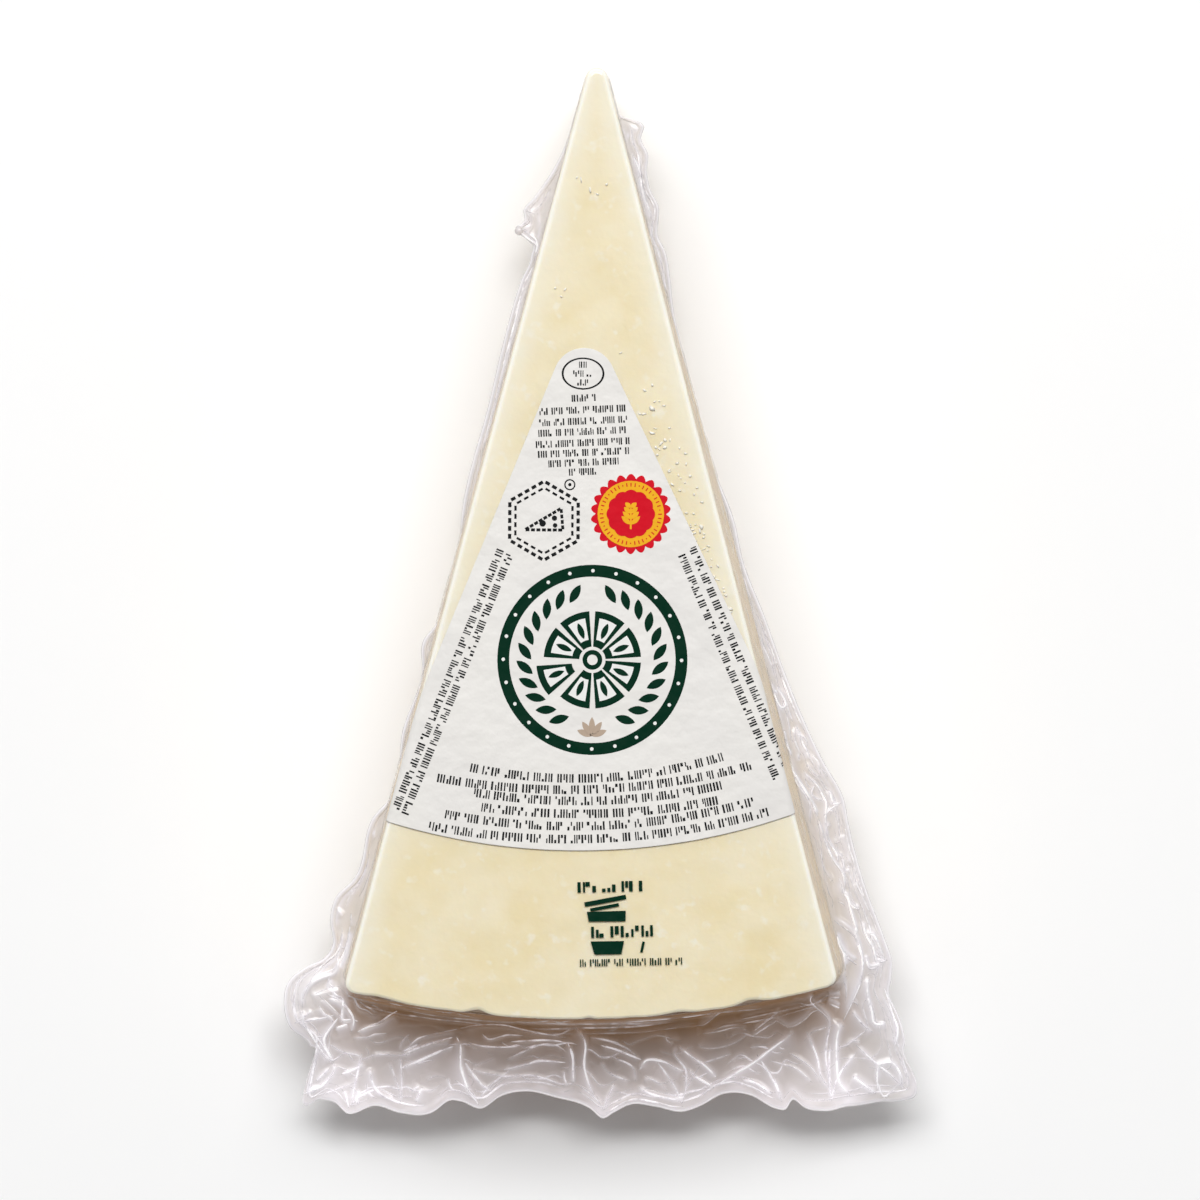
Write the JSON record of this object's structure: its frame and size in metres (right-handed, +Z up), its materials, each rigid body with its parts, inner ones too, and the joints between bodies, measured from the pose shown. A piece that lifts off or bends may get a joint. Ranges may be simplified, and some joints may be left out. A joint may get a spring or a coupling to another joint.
{
  "type": "pecorino romano chunk",
  "caption": "Wedge of hard white sheep's milk cheese sealed in a clear wrinkled bag with a wavy skirt, and a rounded triangular label on its face.",
  "frame": {"origin": "on the surface the pack lies on, under the middle of the pack's bounding box", "axes": "+Z up, out of the labelled cut face; +Y towards the wedge's tip; +X to the right when the label is read"},
  "size_m": [0.098, 0.1621, 0.0386],
  "materials": {
    "clear_film": "glossy clear film",
    "label_paper": "satin, lightly embossed by the cheese under it",
    "cheese": "waxy cut cheese, a little translucent",
    "label_ink": "flat print"
  },
  "bodies": {
    "root": {"vacuum_pack": "clear_film", "label": "label_paper"}
  },
  "joints": []
}
